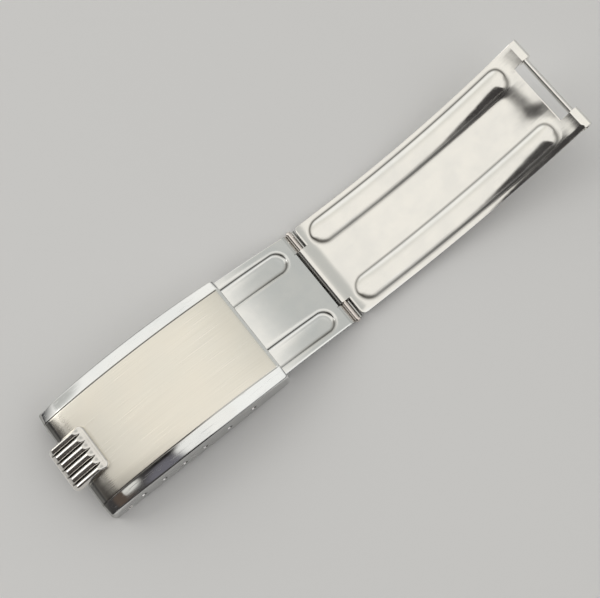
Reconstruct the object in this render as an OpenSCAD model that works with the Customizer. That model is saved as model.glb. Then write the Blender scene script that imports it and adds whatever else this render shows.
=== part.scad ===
// Three-fold watch bracelet clasp in stamped steel sheet, lying opened out.
// +X runs from the lift tab end to the link pin end, +Z points up, the
// origin is at the middle of the footprint on the surface it lies on.

/* [Cover] */
// Length of the cover from the lip to the open end
cover_length = 29.6; // [27:0.1:33]
// Outer width of the cover at both ends
cover_width = 17.1; // [16.4:0.1:18.4]
// Extra half width of the cover at mid length
cover_belly = 0.2; // [0.1:0.05:0.4]
// Height of the cover's top face at both ends
cover_height = 5.3; // [5.2:0.05:5.9]
// Thickness of the cover sheet
cover_sheet = 0.45; // [0.35:0.05:0.5]
// Width of the bevel along each long side, at the ends
bevel_width = 1.85; // [1.4:0.05:2.2]
// Drop of the bevel over that width
bevel_drop = 0.9; // [0.6:0.05:1]
// Radius that rounds the lip end of the cover
lip_round = 0.9; // [0.7:0.05:1.1]
// Height of the turned-down lip
lip_height = 2.0; // [1.8:0.05:2.2]
// Rise of the wall bottoms at mid length
wall_rise = 0.5; // [0.2:0.1:0.6]

/* [Curve] */
// Radius that the cover and both blades are bent to
clasp_radius = 66; // [65.5:0.5:74]

/* [Adjusting holes] */
// Diameter of the holes for the spring bar
adjust_hole_d = 1.0; // [0.8:0.05:1.2]
// Distance from the lip to the first hole
adjust_first = 5.0; // [4.6:0.1:5.4]
// Pitch of the first four holes
adjust_pitch = 3.4; // [3:0.1:3.6]
// Pitch of the last two holes
adjust_pitch_far = 4.1; // [3.6:0.1:4.3]
// Height of the hole row
adjust_height = 2.7; // [2.5:0.05:2.8]

/* [Lift tab] */
// Length of the lift tab
tab_length = 5.9; // [5:0.1:7]
// Width of the lift tab
tab_width = 6.9; // [6:0.1:8]
// Reach of the lift tab past the lip
tab_overhang = 1.5; // [1:0.1:2]
// Thickness of the tab plate above the cover's top face
tab_plate = 0.55; // [0.4:0.05:0.8]
// Number of ridges on the tab
tab_ridges = 6; // [4:1:8]
// Height of a ridge above the plate
tab_ridge_height = 0.4; // [0.3:0.05:0.45]

/* [Hinges] */
// Distance from the lip to the cover hinge axis
hinge_inset = 2.4; // [2.2:0.1:2.8]
// Height of the cover hinge axis
hinge_height = 1.15; // [1.05:0.05:1.25]
// Height of the middle hinge axis
middle_height = 0.95; // [0.95:0.05:1]
// Distance from the open cover end to the middle hinge axis
middle_reach = 12.4; // [11.5:0.1:13]
// Diameter of the hinge pins
hinge_pin_d = 0.9; // [0.8:0.05:1]
// Outer diameter of the rolled knuckles
knuckle_d = 1.8; // [1.7:0.05:1.9]
// Radial play of a turning knuckle on its pin
running_play = 0.03; // [0.02:0.005:0.05]
// Side play between neighbouring knuckles
knuckle_play = 0.08; // [0.05:0.01:0.12]
// Width of the cover hinge knuckle
cover_knuckle_width = 9.0; // [8.4:0.1:9.2]
// Length by which the middle pin stands out of each side
pin_proud = 0.3; // [0.1:0.05:0.35]

/* [Blades] */
// Thickness of the blade sheets
blade_sheet = 0.45; // [0.4:0.05:0.5]
// Play between the inner blade and each cover wall
blade_play = 0.1; // [0.08:0.01:0.15]
// Amount by which the blades are narrower at the middle hinge
blade_taper = 0.5; // [0.3:0.05:0.7]
// Length between the two axes of the outer blade
outer_length = 39.8; // [38.5:0.1:41]
// Angle by which the outer blade rises from the middle hinge
outer_rise = 10; // [8:0.5:12]
// Distance from the middle axis to the blade edges beside it
edge_gap = 1.3; // [1.25:0.05:1.5]
// Radius of the outer blade corners at the middle hinge
corner_radius = 1.0; // [0.6:0.1:1.4]

/* [Inner blade pans] */
// Distance from the middle line to the centre of a pan
pan_offset = 5.1; // [4.9:0.05:5.2]
// Width of a pan
pan_width = 3.25; // [2.9:0.05:3.4]
// Depth of a pan
pan_depth = 0.3; // [0.2:0.05:0.3]
// Amount by which a pan floor stands out below
pan_below = 0.18; // [0.1:0.02:0.18]
// Distance from the middle axis to a pan end
pan_start = 2.5; // [2.3:0.1:3.5]
// Length of a pan
pan_length = 31; // [26:0.5:32]

/* [Outer blade ribs] */
// Distance from the middle line to the centre of a rib
rib_offset = 5.1; // [4.9:0.05:5.3]
// Width of a rib
rib_width = 3.7; // [3.3:0.05:3.8]
// Height of a rib above the sheet
rib_height = 0.55; // [0.45:0.05:0.6]
// Distance from the middle axis to a rib end
rib_start = 2.6; // [2.5:0.1:3.5]
// Length of a rib
rib_length = 34.0; // [31:0.5:34.4]

/* [Link loops] */
// Width of each rolled loop
loop_width = 3.0; // [2.6:0.1:3.1]
// Outer diameter of the loops
loop_d = 1.8; // [1.7:0.05:1.8]
// Diameter of the link pin
link_pin_d = 0.86; // [0.8:0.02:0.9]
// Gap between the sheet edge and the link pin axis
link_gap = 1.8; // [1.7:0.1:2.2]

/* [Hidden] */

$fn = 96;
steel_top = [0.80, 0.78, 0.73];
steel_blade = [0.76, 0.77, 0.75];
steel_pin = [0.70, 0.68, 0.66];

half_length = cover_length / 2;
half_width = cover_width / 2;
top_half = half_width - bevel_width;
cover_sag = clasp_radius - sqrt(pow(clasp_radius, 2) - pow(half_length, 2));
cover_axis_z = cover_height + cover_sag - clasp_radius;
belly_radius = (pow(half_length, 2) + pow(cover_belly, 2)) / (2 * cover_belly);
rise_radius = (pow(half_length, 2) + pow(wall_rise, 2)) / (2 * wall_rise);
lip_bottom = cover_height - lip_height;
lip_lean = asin((half_length - lip_round) / (clasp_radius - lip_round));
lip_centre_z = cover_axis_z + (clasp_radius - lip_round) * cos(lip_lean);

inner_width = cover_width - 2 * cover_sheet - 2 * blade_play;
outer_width = inner_width - blade_taper;
middle_x = cover_length + middle_reach;
inner_run = middle_x - hinge_inset;
link_x = middle_x + outer_length * cos(outer_rise);
shift_x = (tab_overhang - link_x - loop_d / 2) / 2;

knuckle_lift = knuckle_d / 2 - blade_sheet / 2;
loop_lift = loop_d / 2 - blade_sheet / 2;
centre_knuckle = outer_width - 2 * 3.05;
side_knuckle = outer_width / 2 - centre_knuckle / 2 - knuckle_play;
sheet_in = clasp_radius - blade_sheet / 2;
sheet_out = clasp_radius + blade_sheet / 2;

rib_round = (pow(rib_width, 2) / 4 + pow(rib_height, 2)) / (2 * rib_height);
rib_centre = sheet_in - rib_height + rib_round;

// A ring about an axis along Y, the stock for a bent sheet
module bend_ring(radius_in, radius_out, width) {
  rotate([90, 0, 0]) {
    difference() {
      cylinder(r = radius_out, h = width, center = true, $fn = 360);
      cylinder(r = radius_in, h = width + 1, center = true, $fn = 360);
    }
  }
}

// A round bar along Y
module cross_bar(d, width) {
  rotate([90, 0, 0]) {
    cylinder(d = d, h = width, center = true);
  }
}

// Section of the cover in radius and width, pulled in by the sheet thickness
module cover_section(inset, depth) {
  half = half_width + 1;
  drop = bevel_drop * (half - top_half) / bevel_width;
  lift = inset * bevel_drop / (2 * bevel_width);
  polygon([
    [clasp_radius - inset, -top_half + lift],
    [clasp_radius - inset - drop, -half + lift],
    [clasp_radius - depth, -half + lift],
    [clasp_radius - depth, half - lift],
    [clasp_radius - inset - drop, half - lift],
    [clasp_radius - inset, top_half - lift]
  ]);
}

// The cover's outer form, or its cavity when inset is the sheet thickness
module cover_form(inset) {
  intersection() {
    translate([half_length, 0, cover_axis_z]) {
      rotate([90, 0, 0]) {
        rotate_extrude($fn = 360) {
          cover_section(inset, 12);
        }
      }
    }
    cover_plan(inset);
  }
}

// Plan of the cover, slightly wider at mid length
module cover_plan(inset) {
  reach = belly_radius - half_width - cover_belly + inset;
  intersection() {
    translate([half_length, reach, -1]) {
      cylinder(r = belly_radius, h = 12, $fn = 360);
    }
    translate([half_length, -reach, -1]) {
      cylinder(r = belly_radius, h = 12, $fn = 360);
    }
    translate([0, -half_width - 2, -1]) {
      cube([cover_length, cover_width + 4, 12]);
    }
  }
}

// Corner left outside the rounded lip end, a hundredth clear of tangency
module lip_corner(inset) {
  r = lip_round - inset - 0.01;
  translate([lip_round, 0, lip_centre_z]) {
    difference() {
      translate([-lip_round - 1, -half_width - 2, 0]) {
        cube([lip_round + 1, cover_width + 4, 3]);
      }
      rotate([0, -lip_lean, 0]) {
        translate([0, -half_width - 3, -1]) {
          cube([2, cover_width + 6, 5]);
        }
      }
      cross_bar(2 * r, cover_width + 6);
    }
  }
}

// Room inside the cover, open below and at the far end
module cover_room() {
  difference() {
    cover_form(cover_sheet);
    lip_corner(cover_sheet);
    translate([-1, -half_width, -2]) {
      cube([1 + cover_sheet, cover_width, 14]);
    }
  }
  translate([cover_length - 0.5, 0, 0]) {
    intersection() {
      translate([0.5 - cover_length, 0, 0]) {
        translate([half_length, 0, cover_axis_z]) {
          rotate([90, 0, 0]) {
            rotate_extrude($fn = 360) {
              cover_section(cover_sheet, 12);
            }
          }
        }
      }
      translate([0, -half_width + cover_sheet, -2]) {
        cube([2, cover_width - 2 * cover_sheet, 10]);
      }
    }
  }
}

// Distances of the adjusting holes from the lip
function adjust_x(i) = adjust_first + min(i, 3) * adjust_pitch + max(i - 3, 0) * adjust_pitch_far;

// The cover: top face, bevels, side walls, lip and adjusting holes
module cover_shell() {
  color(steel_top)
  translate([shift_x, 0, 0]) {
    difference() {
      cover_form(0);
      lip_corner(0);
      cover_room();
      translate([half_length, 0, wall_rise - rise_radius]) {
        cross_bar(2 * rise_radius, cover_width + 6, $fn = 360);
      }
      translate([-1, -half_width + cover_sheet, -2]) {
        cube([cover_sheet + 1.1, cover_width - 2 * cover_sheet, lip_bottom + 2]);
      }
      for (i = [0 : 5]) {
        translate([adjust_x(i), 0, adjust_height]) {
          cross_bar(adjust_hole_d, cover_width + 4);
        }
      }
      translate([hinge_inset, 0, hinge_height]) {
        cross_bar(hinge_pin_d, cover_width + 4);
      }
    }
  }
}

// The lift tab: a rounded plate with straight parallel ridges
module lift_tab() {
  gap = (tab_width - 1) / (tab_ridges - 1);
  color(steel_blade)
  translate([shift_x, 0, 0]) {
    difference() {
      union() {
        intersection() {
          translate([-tab_overhang, 0, cover_height - 1.2]) {
            tab_plan(4);
          }
          translate([half_length, 0, cover_axis_z]) {
            cross_bar(2 * (clasp_radius + tab_plate), tab_width + 2, $fn = 360);
          }
        }
        for (i = [0 : tab_ridges - 1]) {
          translate([0, -(tab_width - 1) / 2 + i * gap, 0]) {
            tab_ridge();
          }
        }
      }
      translate([half_length, 0, cover_axis_z]) {
        cross_bar(2 * clasp_radius, tab_width + 4, $fn = 360);
      }
      translate([-tab_overhang - 1, -tab_width, cover_height - 2]) {
        cube([tab_overhang + 1, 2 * tab_width, 2]);
      }
    }
  }
}

// Plan of the lift tab with rounded corners
module tab_plan(height) {
  r = 0.8;
  translate([r, -tab_width / 2, 0]) {
    cube([tab_length - 2 * r, tab_width, height]);
  }
  translate([0, -tab_width / 2 + r, 0]) {
    cube([tab_length, tab_width - 2 * r, height]);
  }
  for (x = [r, tab_length - r]) {
    for (y = [r - tab_width / 2, tab_width / 2 - r]) {
      translate([x, y, 0]) {
        cylinder(r = r, h = height);
      }
    }
  }
}

// One straight round-topped ridge that follows the top face
module tab_ridge() {
  r = 0.42;
  long = tab_length - 1.3;
  intersection() {
    translate([half_length, 0, cover_axis_z]) {
      rotate([90, 0, 0]) {
        rotate_extrude($fn = 360) {
          translate([clasp_radius + tab_plate + tab_ridge_height - r, 0]) {
            circle(r = r);
          }
        }
      }
    }
    translate([0.65 - tab_overhang, -1, cover_height - 0.5]) {
      cube([long, 2, 4]);
    }
  }
}

// The pin of the cover hinge, riveted in both side walls
module cover_hinge_pin() {
  color(steel_pin)
  translate([shift_x + hinge_inset, 0, hinge_height]) {
    cross_bar(hinge_pin_d, cover_width + 0.3);
  }
}

// Places a form drawn along the chord of the inner blade, middle axis at 0
module on_inner() {
  drop = atan((hinge_height - middle_height) / inner_run);
  translate([shift_x + middle_x, 0, middle_height]) {
    rotate([0, drop, 0]) {
      children();
    }
  }
}

// Distance between the two axes of the inner blade
function inner_chord() = sqrt(pow(inner_run, 2) + pow(hinge_height - middle_height, 2));

// Axis position of the inner blade's bend, seen from the middle axis
function inner_tilt() = atan(knuckle_lift / inner_chord());
function inner_axis() = let (
    c = sqrt(pow(inner_chord(), 2) + pow(knuckle_lift, 2)) / 2,
    d = sqrt(pow(clasp_radius, 2) - pow(c, 2)),
    a = inner_tilt()
  ) [-c * cos(a) - d * sin(a), c * sin(a) - d * cos(a)];

// Bent sheet of the inner blade between two radii
module inner_bent(radius_in, radius_out) {
  translate([inner_axis()[0], 0, inner_axis()[1]]) {
    bend_ring(radius_in, radius_out, inner_width + 4);
  }
}

// Plan of the inner blade, drawn towards -X from the middle axis
module inner_plan() {
  chord = inner_chord();
  cut = chord - edge_gap;
  translate([0, 0, -2]) {
    linear_extrude(height = 14) {
      polygon([
        [0, outer_width / 2],
        [-middle_reach, inner_width / 2],
        [-cut, inner_width / 2],
        [-cut, cover_knuckle_width / 2],
        [-chord, cover_knuckle_width / 2],
        [-chord, -cover_knuckle_width / 2],
        [-cut, -cover_knuckle_width / 2],
        [-cut, -inner_width / 2],
        [-middle_reach, -inner_width / 2],
        [0, -outer_width / 2],
        [0, -outer_width / 2 + side_knuckle],
        [-edge_gap, -outer_width / 2 + side_knuckle],
        [-edge_gap, outer_width / 2 - side_knuckle],
        [0, outer_width / 2 - side_knuckle]
      ]);
    }
  }
}

// Long round-ended column for a pan, wider by grow all round
module pan_column(grow) {
  r = pan_width / 2 + grow;
  near = -pan_start - pan_width / 2;
  far = -pan_start - pan_length + pan_width / 2;
  translate([near, 0, -2]) {
    cylinder(r = r, h = 14);
  }
  translate([far, 0, -2]) {
    cylinder(r = r, h = 14);
  }
  translate([far, -r, -2]) {
    cube([near - far, 2 * r, 14]);
  }
}

// The inner blade: sheet, two pans, cover knuckle and two side knuckles
module inner_blade() {
  chord = inner_chord();
  side_y = (outer_width - side_knuckle) / 2;
  color(steel_blade)
  on_inner() {
    difference() {
      union() {
        intersection() {
          inner_bent(sheet_in, sheet_out);
          inner_plan();
        }
        for (s = [-1, 1]) {
          translate([0, s * pan_offset, 0]) {
            intersection() {
              pan_column(0.3);
              translate([0, -s * pan_offset, 0]) {
                inner_bent(sheet_in - pan_below, sheet_in + 0.1);
              }
            }
          }
          translate([0, s * side_y, 0]) {
            cross_bar(knuckle_d, side_knuckle);
          }
        }
        translate([-chord, 0, 0]) {
          cross_bar(knuckle_d, cover_knuckle_width);
        }
      }
      for (s = [-1, 1]) {
        translate([0, s * pan_offset, 0]) {
          intersection() {
            pan_column(0);
            translate([0, -s * pan_offset, 0]) {
              inner_bent(sheet_out - pan_depth, sheet_out + 1);
            }
          }
        }
      }
      cross_bar(hinge_pin_d, outer_width + 4);
      translate([-chord, 0, 0]) {
        cross_bar(hinge_pin_d + 2 * running_play, inner_width + 4);
      }
    }
  }
}

// The pin of the middle hinge, fixed in the inner blade's side knuckles
module middle_hinge_pin() {
  color(steel_pin)
  on_inner() {
    cross_bar(hinge_pin_d, outer_width + 2 * pin_proud);
  }
}

// Places a form drawn along the chord of the outer blade, middle axis at 0
module on_outer() {
  translate([shift_x + middle_x, 0, middle_height]) {
    rotate([0, -outer_rise, 0]) {
      children();
    }
  }
}

// Axis position of the outer blade's bend, seen from the middle axis
function outer_axis() = [
  outer_length / 2,
  knuckle_lift + sqrt(pow(clasp_radius, 2) - pow(outer_length / 2, 2))
];

// Angle at the bend axis of a point at distance x along the outer blade
function bend_angle(x) = asin((x - outer_length / 2) / clasp_radius);

// Bent sheet of the outer blade between two radii
module outer_bent(radius_in, radius_out) {
  translate([outer_axis()[0], 0, outer_axis()[1]]) {
    bend_ring(radius_in, radius_out, outer_width + 4);
  }
}

// Plan of the outer blade with its tongue, rounded corners and two fingers
module outer_plan() {
  near = edge_gap;
  far = outer_length - link_gap;
  half = outer_width / 2;
  linear_extrude(height = 14) {
    difference() {
      polygon([
        [0, centre_knuckle / 2],
        [near, centre_knuckle / 2],
        [near, half],
        [outer_length, half],
        [outer_length, half - loop_width],
        [far, half - loop_width],
        [far, -half + loop_width],
        [outer_length, -half + loop_width],
        [outer_length, -half],
        [near, -half],
        [near, -centre_knuckle / 2],
        [0, -centre_knuckle / 2]
      ]);
      for (s = [-1, 1]) {
        translate([near, s * half]) {
          difference() {
            square(2 * corner_radius, center = true);
            translate([corner_radius, -s * corner_radius]) {
              circle(r = corner_radius);
            }
          }
        }
      }
    }
  }
}

// Round-topped bar along the outer blade's bend, its ball ends a touch smaller
module rib_bar(r) {
  ball = r - 0.02;
  a = bend_angle(rib_start + rib_width / 2);
  b = bend_angle(rib_start + rib_length - rib_width / 2);
  translate([outer_axis()[0], 0, outer_axis()[1]]) {
    rotate([90, 0, 0]) {
      rotate([0, 0, a - 90]) {
        rotate_extrude(angle = b - a, $fn = 360) {
          translate([rib_centre, 0]) {
            circle(r = r);
          }
        }
      }
    }
    for (t = [a, b]) {
      translate([rib_centre * sin(t), 0, -rib_centre * cos(t)]) {
        sphere(r = ball);
      }
    }
  }
}

// The outer blade: sheet, two hollow ribs, centre knuckle and link loops
module outer_blade() {
  color(steel_blade)
  on_outer() {
    difference() {
      union() {
        intersection() {
          outer_bent(sheet_in, sheet_out);
          translate([0, 0, -6]) {
            outer_plan();
          }
        }
        for (s = [-1, 1]) {
          translate([0, s * rib_offset, 0]) {
            intersection() {
              rib_bar(rib_round);
              outer_bent(sheet_in - 2, sheet_in + 0.1);
            }
          }
          translate([outer_length, s * (outer_width - loop_width) / 2, knuckle_lift - loop_lift]) {
            cross_bar(loop_d, loop_width);
          }
        }
        cross_bar(knuckle_d, centre_knuckle);
      }
      for (s = [-1, 1]) {
        translate([0, s * rib_offset, 0]) {
          rib_bar(rib_round - blade_sheet);
        }
      }
      cross_bar(hinge_pin_d + 2 * running_play, outer_width + 4);
      translate([outer_length, 0, knuckle_lift - loop_lift]) {
        cross_bar(link_pin_d, outer_width + 4);
      }
    }
  }
}

// The pin between the loops that carries the bracelet's end link
module link_pin() {
  color(steel_pin)
  on_outer() {
    translate([outer_length, 0, knuckle_lift - loop_lift]) {
      cross_bar(link_pin_d, outer_width - 0.2);
    }
  }
}

cover_shell();
lift_tab();
cover_hinge_pin();
inner_blade();
middle_hinge_pin();
outer_blade();
link_pin();
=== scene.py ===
import math
from functools import partial

import bmesh
import bpy
import numpy as np
from mathutils import Matrix, Vector


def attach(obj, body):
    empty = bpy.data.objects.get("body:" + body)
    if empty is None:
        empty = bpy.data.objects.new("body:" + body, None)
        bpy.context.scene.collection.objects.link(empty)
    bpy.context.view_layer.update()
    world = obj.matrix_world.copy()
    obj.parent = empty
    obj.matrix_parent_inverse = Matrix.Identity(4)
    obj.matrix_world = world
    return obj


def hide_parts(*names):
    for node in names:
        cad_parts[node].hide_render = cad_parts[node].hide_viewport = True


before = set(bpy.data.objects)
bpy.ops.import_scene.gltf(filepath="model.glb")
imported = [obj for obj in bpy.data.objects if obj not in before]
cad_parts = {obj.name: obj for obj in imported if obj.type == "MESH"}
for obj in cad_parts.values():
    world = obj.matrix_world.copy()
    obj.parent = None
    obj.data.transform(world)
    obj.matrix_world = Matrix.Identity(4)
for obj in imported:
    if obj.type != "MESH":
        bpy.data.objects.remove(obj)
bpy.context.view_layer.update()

MM = 0.001

# Lengths in mm. This first group agrees with the part's source. The drawing frame has
# x = 0 at the lip, and SHIFT_X takes it to the row frame.
SHIFT_X = -40.29767
COVER_LENGTH = 29.6
COVER_HALF_LENGTH = COVER_LENGTH / 2
COVER_HALF_WIDTH = 8.55
COVER_BELLY = 0.2
COVER_HEIGHT = 5.3
SHEET = 0.45
TOP_HALF = 6.7
BEVEL_SLOPE = 0.9 / 1.85
LIP_ROUND = 0.9
LIP_DEPTH = 1.2
WALL_RISE = 0.5
BEND_RADIUS = 66.0
ADJUST_X = (5.0, 8.4, 11.8, 15.2, 19.3, 23.4)
ADJUST_Z = 2.7
ADJUST_D = 1.0
TAB_LENGTH = 5.9
TAB_WIDTH = 6.9
TAB_OVERHANG = 1.5
TAB_PLATE = 0.55
TAB_RIDGE_HEIGHT = 0.4
TAB_RIDGES = 6
HINGE_X = 2.4
HINGE_Z = 1.15
MIDDLE_X = 42.0
MIDDLE_Z = 0.95
KNUCKLE_R = 0.9
PIN_R = 0.45
LIFT = KNUCKLE_R - SHEET / 2
INNER_HALF = 8.0
OUTER_HALF = 7.75
MIDDLE_REACH = 12.4
EDGE_GAP = 1.3
OUTER_LENGTH = 39.8
OUTER_RISE = math.radians(10)
CENTRE_KNUCKLE_HALF = 4.7
SIDE_KNUCKLE_IN = 4.78
COVER_KNUCKLE_HALF = 4.5
LINK_GAP = 1.8
FINGER_IN = 4.75
LINK_PIN_R = 0.43

# Bend axis of the cover, and the rounded nose between its top and its lip.
COVER_AXIS_Z = COVER_HEIGHT - math.sqrt(BEND_RADIUS**2 - COVER_HALF_LENGTH**2)
LIP_LEAN = math.asin((COVER_HALF_LENGTH - LIP_ROUND) / (BEND_RADIUS - LIP_ROUND))
LIP_CENTRE_Z = COVER_AXIS_Z + (BEND_RADIUS - LIP_ROUND) * math.cos(LIP_LEAN)
ROLL_START = 3.4
ROLL_TILT = math.radians(27)
ROLL_X = LIP_ROUND * (1 - math.sin(ROLL_TILT))

# Finer forms of the cover: rounding of its two long edges on the outer and the inner face,
# crowned top and bevels, the score line between them, the rounded rim at the open end, and
# the countersunk holes.
EDGE_ROUNDS, BRIM_ROUNDS = (0.5, 0.06), (0.55, 0.08)
CROWN_START, CROWN_DROP = 4.2, 0.08
BEVEL_CROWN = 0.12
SCORE_DEPTH, SCORE_WIDTH = 0.05, 0.07
RIM_START, RIM_PULL = 28.95, 0.18
SINK_DEPTH, SINK_FLARE = 0.12, 0.6
# Where the grid lines lie across the top, the bevel and the wall, and down the lip.
TOP_STEPS = (0, 0.1, 0.2, 0.3, 0.4, 0.5, 0.6, 0.7, 0.8, 0.88, 0.94, 0.98, 0.995)
BEVEL_STEPS = (0.03, 0.1, 0.2, 0.32, 0.44, 0.56, 0.68, 0.8, 0.9, 0.97)
WALL_STEPS = (0.03, 0.12, 0.25, 0.4, 0.55, 0.7, 0.85, 0.95, 1.0)
LIP_STEPS = (1.0, 0.93, 0.8, 0.6, 0.4, 0.2, 0.06)
NOSE_ROWS, RIM_ROWS = 14, 9

# Finer forms of the lift tab.
TAB_GRID = 0.085
TAB_CORNER = 0.9
TAB_BRIM, TAB_EDGE_SHARE = 0.4, 0.35
TAB_MARGIN = 0.5
TAB_FLUTE_DEPTH = 0.34
TAB_SINK = 0.06

# Pans of the inner blade: the +Y and the -Y one, with a drawn shoulder and a hollow floor.
PAN_OFFSET, PAN_WIDTH, PAN_DEPTH, PAN_BELOW = (5.1, 5.4), 3.25, 0.4, 0.18
PAN_START, PAN_LENGTH = 2.5, 31.0
PAN_WALL, PAN_DRAW, PAN_SHOULDER, PAN_FLOOR = 0.7, 0.6, 0.10, 0.05
# How far the inner blade's middle edge reaches on, and the open hooks beside it. The hooks
# and the rolled knuckles have one inner radius.
TONGUE_REACH = 0.24
BORE_R, HOOK_R = PIN_R + 0.03, KNUCKLE_R - 0.04
HOOK_BEGIN, HOOK_TURN = math.radians(192), math.radians(158)
HOOK_DROP_ROWS, HOOK_ROWS = 8, 24
KNUCKLE_TURN = math.radians(285)
# Half of the inner blade's width that keeps its grid lines where the blade tapers.
STRAIGHT_HALF = 6.9

# Ribs of the outer blade, with the offsets and weights that soften them.
RIB_OFFSET, RIB_WIDTH, RIB_HEIGHT, RIB_START, RIB_LENGTH = 5.1, 3.7, 0.6, 2.25, 34.35
RIB_FOOT = 0.05
RIB_SOFTENING = (
    (0.0, 0.0, 0.2), (-0.45, 0.0, 0.12), (0.45, 0.0, 0.12), (0.0, -0.14, 0.12), (0.0, 0.14, 0.12),
    (-0.3, -0.1, 0.08), (0.3, -0.1, 0.08), (-0.3, 0.1, 0.08), (0.3, 0.1, 0.08),
)
# Corner plates of the outer blade: start, corner radius, and depth and reach of their wear.
PLATE_START, PLATE_CORNER = 0.98, 0.75
WORN_DEPTH, WORN_REACH = 0.04, 0.25
# Its valley by the middle hinge, its swells by the slot and on the -Y finger, and its rolled
# long edges, with the depth on the +Y and the -Y side.
VALLEY_DEPTH = 0.13
SLOT_SWELL, FINGER_SWELL = 0.095, 0.045
EDGE_WIDTH, EDGE_DEPTHS = 0.8, (0.03, 0.15)
# Its squarish link loops: half height of the flat top, how far they roll and in how many rows.
LOOP_FLAT = 0.8265
LOOP_TURN, LOOP_ROWS = -math.radians(300), 60

# Half length and length of the domed end of each pin.
COVER_PIN, MIDDLE_PIN, LINK_PIN = (8.8, 0.3), (8.05, 0.26), (7.65, 0.2)


def smooth(t):
    """Smooth step from 0 to 1."""
    t = np.clip(t, 0.0, 1.0)
    return t * t * (3 - 2 * t)


# ---------------- meshes


def link(name, data):
    """A new object in the scene."""
    obj = bpy.data.objects.new(name, data)
    bpy.context.scene.collection.objects.link(obj)
    return obj


def bare_solid(name, verts, faces, painted_shade=None):
    """A clean mesh object from points in mm in the row frame."""
    mesh = bpy.data.meshes.new(name)
    mesh.from_pydata([(x * MM, y * MM, z * MM) for x, y, z in verts], [], faces)
    # Painted shade for each point, read by the blades' material.
    if painted_shade:
        layer = mesh.attributes.new("painted_shade", "FLOAT", "POINT")
        layer.data.foreach_set("value", painted_shade)
    clean(mesh)
    return link(name, mesh)


def new_object(name, verts, faces, material, body, nodes, sharp, painted_shade=None):
    """A smooth-shaded piece on a body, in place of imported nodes."""
    obj = bare_solid(name, verts, faces, painted_shade)
    shade(obj.data, sharp)
    obj.data.materials.append(material)
    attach(obj, body)
    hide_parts(*nodes)
    return obj


def clean(mesh):
    """Merges doubled points, drops flat faces and turns all faces outwards."""
    work = bmesh.new()
    work.from_mesh(mesh)
    bmesh.ops.remove_doubles(work, verts=work.verts, dist=1e-7)
    bmesh.ops.dissolve_degenerate(work, edges=work.edges, dist=1e-7)
    bmesh.ops.recalc_face_normals(work, faces=work.faces)
    work.to_mesh(mesh)
    work.free()


def shade(mesh, sharp):
    """Smooth shading with sharp edges past an angle."""
    mesh.shade_smooth()
    mesh.set_sharp_from_angle(angle=math.radians(sharp))


def sheet_solid(top, bottom, mask, shade_grids=None):
    """Points, faces and painted shade of a sheet from two grids of points and the cells that
    exist.

    The last argument holds a grid of painted shade for each side.
    """
    rows, cols = len(top), len(top[0])
    verts, faces, painted_shade, index = [], [], [], {}

    def point(side, i, j):
        key = (side, i, j)
        if key not in index:
            index[key] = len(verts)
            verts.append((top if side == 0 else bottom)[i][j])
            painted_shade.append(shade_grids[side][i][j] if shade_grids else 0.0)
        return index[key]

    def there(i, j):
        return 0 <= i < rows - 1 and 0 <= j < cols - 1 and mask[i][j]

    for i in range(rows - 1):
        for j in range(cols - 1):
            if not mask[i][j]:
                continue
            ring = ((i, j), (i, j + 1), (i + 1, j + 1), (i + 1, j))
            faces.append([point(0, a, b) for a, b in ring])
            faces.append([point(1, a, b) for a, b in reversed(ring)])
            neighbours = ((i - 1, j), (i, j + 1), (i + 1, j), (i, j - 1))
            for k, (a, b) in enumerate(neighbours):
                if there(a, b):
                    continue
                p, q = ring[k], ring[(k + 1) % 4]
                faces.append([point(0, *q), point(0, *p), point(1, *p), point(1, *q)])
    return verts, faces, painted_shade


def lines(*spans):
    """Sorted grid lines: each span is (start, end, largest step)."""
    values = []
    for start, end, step in spans:
        count = max(1, int(math.ceil(abs(end - start) / step - 1e-6)))
        values.extend(np.linspace(start, end, count + 1).tolist())
    values = sorted(values)
    kept = [values[0]]
    for v in values[1:]:
        if v - kept[-1] > 1e-4:
            kept.append(v)
    return kept


def fillet(corner, before, after, radius, count):
    """Points of an arc that rounds a corner between two directions."""
    turn = math.acos(max(-1.0, min(1.0, before[0] * after[0] + before[1] * after[1])))
    reach = radius * math.tan(turn / 2)
    a = (corner[0] - before[0] * reach, corner[1] - before[1] * reach)
    side = 1.0 if before[0] * after[1] - before[1] * after[0] > 0 else -1.0
    normal = (-before[1] * side, before[0] * side)
    centre = (a[0] + normal[0] * radius, a[1] + normal[1] * radius)
    start = math.atan2(a[1] - centre[1], a[0] - centre[0])
    points = []
    for k in range(count + 1):
        t = start + side * turn * k / count
        points.append((centre[0] + radius * math.cos(t), centre[1] + radius * math.sin(t)))
    return points


# ---------------- cover


def cover_half(x):
    """Half width of the cover, with a slight belly."""
    from_middle = (x - COVER_HALF_LENGTH) / COVER_HALF_LENGTH
    return COVER_HALF_WIDTH + COVER_BELLY * (1 - from_middle**2)


def cover_arch(x):
    """Height of the cover's top along the middle."""
    return COVER_AXIS_Z + math.sqrt(BEND_RADIUS**2 - (x - COVER_HALF_LENGTH) ** 2)


def roll_off(x):
    """How far the top has rolled off from the plain arch near the lip."""
    lean = math.asin((COVER_HALF_LENGTH - ROLL_X) / BEND_RADIUS)
    rate = (math.tan(ROLL_TILT) - math.tan(lean)) / (2 * (ROLL_START - ROLL_X))
    return rate * max(0.0, ROLL_START - x) ** 2


# How much lower the rolled nose lies than one rounded straight from the arch.
NOSE_DROP = LIP_CENTRE_Z + LIP_ROUND * math.cos(ROLL_TILT) - cover_arch(ROLL_X) + roll_off(ROLL_X)
NOSE_Z = LIP_CENTRE_Z - NOSE_DROP


def wall_bottom(x):
    """Height of the walls' lower edge, arched along the cover."""
    radius = (COVER_HALF_LENGTH**2 + WALL_RISE**2) / (2 * WALL_RISE)
    return WALL_RISE - radius + math.sqrt(radius**2 - (x - COVER_HALF_LENGTH) ** 2)


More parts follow.
